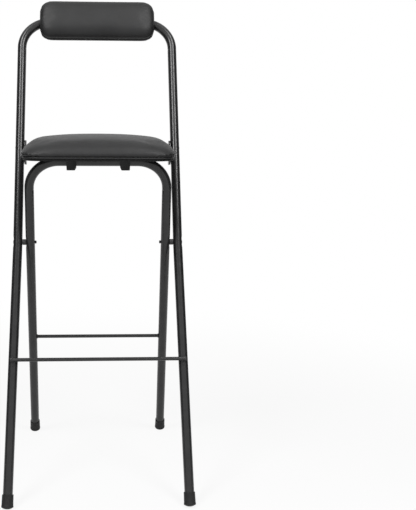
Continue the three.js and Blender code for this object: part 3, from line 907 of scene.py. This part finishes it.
def smoothed(piece, hold, iterations):
    """hold gives how firmly a point, in millimetres, keeps its place."""
    loose = piece.vertex_groups.new(name="loose")
    for vertex in piece.data.vertices:
        loose.add([vertex.index], 1 - hold(vertex.co / MM), "REPLACE")
    smooth = piece.modifiers.new("smooth", "SMOOTH")
    smooth.factor = 0.5
    smooth.iterations = iterations
    smooth.vertex_group = "loose"
    apply_modifiers(piece)
    piece.vertex_groups.clear()


def plumped(piece, grip):
    """grip gives how firmly a point, in millimetres, is held. No point moves further than PLUMP."""
    mesh = piece.data
    start = [vertex.co.copy() for vertex in mesh.vertices]
    held = piece.vertex_groups.new(name="held")
    for vertex in mesh.vertices:
        held.add([vertex.index], grip(vertex.co / MM), "REPLACE")
    cloth = piece.modifiers.new("cloth", "CLOTH")
    cloth.settings.quality = CLOTH["quality"]
    cloth.settings.mass = CLOTH["mass"]
    cloth.settings.tension_stiffness = CLOTH["stiffness"]
    cloth.settings.compression_stiffness = CLOTH["stiffness"]
    cloth.settings.bending_stiffness = CLOTH["bending"]
    cloth.settings.use_pressure = True
    cloth.settings.uniform_pressure_force = CLOTH["pressure"]
    cloth.settings.vertex_group_mass = "held"
    cloth.settings.effector_weights.gravity = 0
    cloth.point_cache.frame_start = 1
    cloth.point_cache.frame_end = CLOTH["frames"]
    for number in range(1, CLOTH["frames"] + 1):
        scene.frame_set(number)
    blown = piece.evaluated_get(bpy.context.evaluated_depsgraph_get()).data
    moved = [vertex.co.copy() for vertex in blown.vertices]
    piece.modifiers.clear()
    piece.vertex_groups.clear()
    for vertex, before, after in zip(mesh.vertices, start, moved):
        step = after - before
        vertex.co = before + step * min(1, PLUMP * MM / max(step.length, 1e-9))
    scene.frame_set(1)


def subdivided(piece):
    piece.modifiers.new("finer", "SUBSURF").levels = 1
    apply_modifiers(piece)
    piece.data.shade_smooth()


def puckered(piece, height_of, place_of, depth):
    """Draws the cover in at small even intervals along its seam, less and less away from it."""
    normals = [vertex.normal.copy() for vertex in piece.data.vertices]
    for vertex, normal in zip(piece.data.vertices, normals):
        point = vertex.co / MM
        near = math.exp(-abs(height_of(point)) / PUCKER_FADE)
        along = place_of(point)
        wave = sum(share * math.sin(along * rate + shift) for rate, shift, share in PUCKER_WAVES)
        vertex.co += normal * (depth * near * wave * MM)


def soft_piece(piece, height_of, place_of, softness):
    """height_of and place_of give a point's height above the seam and its place along it."""

    def held_below(span):
        return lambda point: smooth_step(-span[1], -span[0], -height_of(point))

    evenly_meshed(piece)
    smoothed(piece, lambda point: 0, FIRST_SMOOTHING)
    plumped(piece, held_below(SEAM_HOLD))
    smoothed(piece, held_below(softness["smooth_over"]), softness["iterations"])
    subdivided(piece)
    puckered(piece, height_of, place_of, softness["pucker"])


def rolled_edge(draw, rim, steps):
    """Shares of the lift and insets of the cover's edge, from the seam up to its widest line."""
    edge = []
    for step in range(steps):
        share = step / steps
        edge.append((share, draw * (1 - math.sin(share * math.pi / 2)) + rim * share))
    return edge


def seat_cushion():
    bottom = SEAT_CUSHION["bottom"]
    lift = SEAT_CUSHION["lift"]
    draw = SEAT_CUSHION["draw"]
    rim = SEAT_CUSHION["rim"]
    under = [seat_ring(inset, bottom - SEAT_UNDER["sink"]) for inset in SEAT_UNDER["insets"]]
    tuck = [seat_ring(draw + inset, bottom + height) for inset, height in SEAT_TUCK]
    edge = rolled_edge(draw, rim, SEAT_CUSHION["roll_steps"])
    roll = [seat_ring(inset, bottom + lift * share) for share, inset in edge]
    crown = []
    for share, rise in catmull(CROWN_TABLE, TABLE_STEPS)[:-2]:
        crown.append(seat_ring(rim, bottom + lift + rise * (SEAT_CUSHION["crown"] - PLUMP), share))
    form = Form()
    form.loft(under + tuck + roll + crown)
    piece = form.piece("seat_upholstery", "seat", "leatherette", 60)
    soft_piece(piece, lambda point: point.z - bottom, lambda point: point.x - point.y, SEAT_SOFTNESS)
    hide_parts("seat_cushion")


def seat_welt():
    middle = SEAT_CUSHION["bottom"] - WELT["below_cushion"]
    rings = []
    for step in range(WELT["sides"]):
        angle = 2 * math.pi * step / WELT["sides"]
        inset = WELT["inset"] - WELT["radius"] * math.cos(angle)
        rings.append(seat_ring(inset, middle + WELT["radius"] * math.sin(angle)))
    form = Form()
    form.loft(rings, closed=True)
    piece = form.piece("seat_welt", "seat", "leatherette", 60)
    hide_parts("seat_piping")


def seat_skirt():
    """The cover's edge below the welt: it hangs round the board and turns in under it."""
    front, rear, inner = BRACKET_PLACE["front"], BRACKET_PLACE["rear"], BRACKET_PLACE["inner"]
    rings = []
    for inset, height in HEM_PROFILE:
        ring = seat_ring(inset, CLOTH_BOTTOM + height)
        for point in ring:
            lifted = smooth_step(*front, point.y) * smooth_step(-rear[1], -rear[0], -point.y)
            lifted *= smooth_step(*inner, abs(point.x))
            floor_here = BRACKET_PLACE["clear"] * lifted - BRACKET_PLACE["free"] * (1 - lifted)
            point.z = max(point.z, CLOTH_BOTTOM + floor_here)
        rings.append(ring)
    form = Form()
    form.loft(rings, closed=True)
    form.piece("seat_turned_hem", "seat", "dust_cloth", 60)


# The dust cloth under the board, with its turned-over edge, and the staples that hold it
def dust_sheet():
    rings = []
    for inset, height in DUST_CLOTH_PROFILE:
        rings.append(seat_ring(DUST_CLOTH_INSET + inset, CLOTH_BOTTOM + height))
    form = Form()
    count = len(rings[0])
    form.points.extend(point for ring in rings for point in ring)
    form.faces.extend(ring_faces(0, count, len(rings)))
    form.fan((len(rings) - 1) * count, rings[-1])
    piece = form.piece("dust_sheet", "seat", "dust_cloth", 60)
    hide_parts("seat_underlay")


def staples():
    form = Form()
    ring = seat_ring(DUST_CLOTH_INSET + STAPLE["inset"], CLOTH_BOTTOM + STAPLE["height"])
    for index in range(0, len(ring), STAPLE["every"]):
        here, after = ring[index], ring[(index + 1) % len(ring)]
        if here.y > STAPLE["bracket_y"] and abs(here.x) > STAPLE["bracket_x"]:
            continue
        along = (after - here).normalized()
        rings = []
        for place, size, height in STAPLE_PROFILE:
            centre = here + along * place + Vector((0, 0, height))
            rings.append(turned_rings([(size, 0)], centre, along, STAPLE["sides"])[0])
        form.loft(rings)
    form.piece("dust_sheet_staples", "seat", "black_steel", 50)


seat_cushion()
seat_welt()
seat_skirt()
dust_sheet()
staples()


# The backrest's pads
def pad_outline(inset):
    """Points (x, up) round the pad with even steps along its straight edges."""
    half_w, half_h, corner = PAD["half_width"], PAD["half_height"], PAD["corner"]
    points = []
    corners = [(1, -1), (1, 1), (-1, 1), (-1, -1)]
    for index, (sx, sy) in enumerate(corners):
        here = Vector((sx * half_w, sy * half_h))
        before = Vector((corners[index - 1][0] * half_w, corners[index - 1][1] * half_h))
        following = corners[(index + 1) % 4]
        after = Vector((following[0] * half_w, following[1] * half_h))
        start = here + (before - here).normalized() * corner
        end = here + (after - here).normalized() * corner
        for step in range(PAD_CORNER_STEPS + 1):
            t = step / PAD_CORNER_STEPS
            points.append(start * (1 - t) ** 2 + here * (2 * t * (1 - t)) + end * t**2)
        straight_end = after + (here - after).normalized() * corner
        steps = max(2, round((straight_end - end).length / PAD_EDGE_STEP))
        for step in range(1, steps):
            points.append(end.lerp(straight_end, step / steps))
    share_x = 1 - inset / half_w
    share_y = 1 - inset / half_h
    return [Vector((point.x * share_x, point.y * share_y)) for point in points]


def pad_ring(inset, front):
    return [BACK.at(point.x, -front, BACK_TUBE["top"] + point.y) for point in pad_outline(inset)]


def pad_piece(name, node, half, facing):
    """One half of the pad, from its seam towards the front (facing 1) or the back (facing -1)."""
    seam, lift = half["seam"], half["lift"]
    rise = half["rise"] - PLUMP
    under = [pad_ring(inset, seam) for inset in PAD_UNDER_INSETS]
    edge = rolled_edge(PAD["draw"], PAD["rim"], PAD_ROLL_STEPS)
    roll = [pad_ring(inset, seam + facing * lift * share) for share, inset in edge]
    crown = []
    for inset, share in catmull(PAD_EDGE_TABLE, TABLE_STEPS):
        crown.append(pad_ring(PAD["rim"] + inset * PAD["edge"], seam + facing * (lift + share * rise)))
    form = Form()
    form.loft(under + roll + crown)
    piece = form.piece(name, "back", "leatherette", 60)

    def above_seam(point):
        return -BACK.normal.dot(point - BACK.at(0, -seam, BACK_TUBE["top"])) * facing

    soft_piece(piece, above_seam, lambda point: point.x + point.z, PAD_SOFTNESS)
    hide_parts(node)


pad_piece("backrest_pad_front", "backrest_cushion", PAD_FRONT, 1)
pad_piece("backrest_pad_rear", "backrest_cover", PAD_REAR, -1)


# Finishes for the CAD nodes that stay: the boards and the screws
for node, carried in frame["nodes"].items():
    slot = "plywood" if node.endswith("_board") else "black_steel"
    if slot == "plywood" or "screw" in node:
        carried.data.materials.clear()
        carried.data.materials.append(FINISH[slot])


# Floor, world and lamps
def whiter_away(tree, factor):
    """The given share of white near the object, and all white from a few metres on."""
    nodes, links = tree.nodes, tree.links
    length = nodes.new("ShaderNodeVectorMath")
    length.operation = "LENGTH"
    links.new(nodes.new("ShaderNodeTexCoord").outputs["Object"], length.inputs[0])
    share = nodes.new("ShaderNodeMapRange")
    share.interpolation_type = "SMOOTHSTEP"
    share.inputs["From Min"].default_value = FLOOR_WHITE["near"]
    share.inputs["From Max"].default_value = FLOOR_WHITE["far"]
    share.inputs["To Min"].default_value = factor
    links.new(length.outputs["Value"], share.inputs["Value"])
    return share.outputs[0]


def white_to_camera(tree, lit, factor):
    """Mixes a lit shader with plain white for the rays that see the background."""
    nodes, links = tree.nodes, tree.links
    path = nodes.new("ShaderNodeLightPath")
    either = nodes.new("ShaderNodeMath")
    either.operation = "MAXIMUM"
    links.new(path.outputs["Is Camera Ray"], either.inputs[0])
    links.new(path.outputs["Is Glossy Ray"], either.inputs[1])
    any_of = nodes.new("ShaderNodeMath")
    any_of.operation = "MAXIMUM"
    links.new(either.outputs[0], any_of.inputs[0])
    links.new(path.outputs["Is Transmission Ray"], any_of.inputs[1])
    amount = nodes.new("ShaderNodeMath")
    amount.operation = "MULTIPLY"
    links.new(any_of.outputs[0], amount.inputs[0])
    links.new(whiter_away(tree, factor), amount.inputs[1])
    mix = nodes.new("ShaderNodeMixShader")
    links.new(amount.outputs[0], mix.inputs["Fac"])
    links.new(lit, mix.inputs[1])
    return mix


def stage_panel(name, corners, material, height=0):
    mesh = bpy.data.meshes.new(name)
    mesh.from_pydata(corners, [], [(0, 1, 2, 3)])
    mesh.materials.append(material)
    panel = bpy.data.objects.new(name, mesh)
    panel.location.z = height
    scene.collection.objects.link(panel)
    return panel


def plain_material(name, value, roughness, specular):
    made = bpy.data.materials.new(name)
    made.use_nodes = True
    shader = made.node_tree.nodes["Principled BSDF"]
    shader.inputs["Base Color"].default_value = (value, value, value, 1)
    shader.inputs["Roughness"].default_value = roughness
    shader.inputs["Specular IOR Level"].default_value = specular
    return made, shader


def floor():
    paper, shader = plain_material("studio_paper", FLOOR["grey"], FLOOR["roughness"], FLOOR["specular"])
    tree = paper.node_tree
    mix = white_to_camera(tree, shader.outputs[0], FLOOR_WHITE["share"])
    glow = tree.nodes.new("ShaderNodeEmission")
    tree.links.new(glow.outputs[0], mix.inputs[2])
    tree.links.new(mix.outputs[0], tree.nodes["Material Output"].inputs["Surface"])
    half = FLOOR["half"]
    corners = [(-half, -half, 0), (half, -half, 0), (half, half, 0), (-half, half, 0)]
    stage_panel("studio_floor", corners, paper, FLOOR["height"])


def world():
    made = bpy.data.worlds.new("studio_world")
    made.use_nodes = True
    scene.world = made
    tree = made.node_tree
    dim = tree.nodes["Background"]
    dim.inputs["Color"].default_value = (1, 1, 1, 1)
    dim.inputs["Strength"].default_value = WORLD_STRENGTH
    mix = white_to_camera(tree, dim.outputs[0], 1)
    bright = tree.nodes.new("ShaderNodeBackground")
    bright.inputs["Color"].default_value = (1, 1, 1, 1)
    tree.links.new(bright.outputs[0], mix.inputs[2])
    tree.links.new(mix.outputs[0], tree.nodes["World Output"].inputs["Surface"])


def lamp(name, at, power):
    data = bpy.data.lights.new(name, "AREA")
    data.shape = "RECTANGLE"
    data.size = LAMP_SIZE[0]
    data.size_y = LAMP_SIZE[1]
    data.energy = power
    light = bpy.data.objects.new(name, data)
    scene.collection.objects.link(light)
    light.location = at
    light.rotation_euler = (Vector(LAMP_TARGET) - Vector(at)).to_track_quat("-Z", "Y").to_euler()


def flag(name, x):
    """A black card out of the camera's view, for dark edges on the tubes."""
    black = plain_material(name, FLAG["grey"], 0.5, 0)[0]
    low, high, near, far = FLAG["low"], FLAG["high"], FLAG["near"], FLAG["far"]
    corners = [(x, near, low), (x, far, low), (x, far, high), (x, near, high)]
    card = stage_panel(name, corners, black)
    card.visible_camera = False


floor()
world()
flag("studio_flag_left", -FLAG["side"])
flag("studio_flag_right", FLAG["side"])
for name, (at, power) in LAMPS.items():
    lamp(name, at, power)

scene.view_settings.view_transform = "Standard"
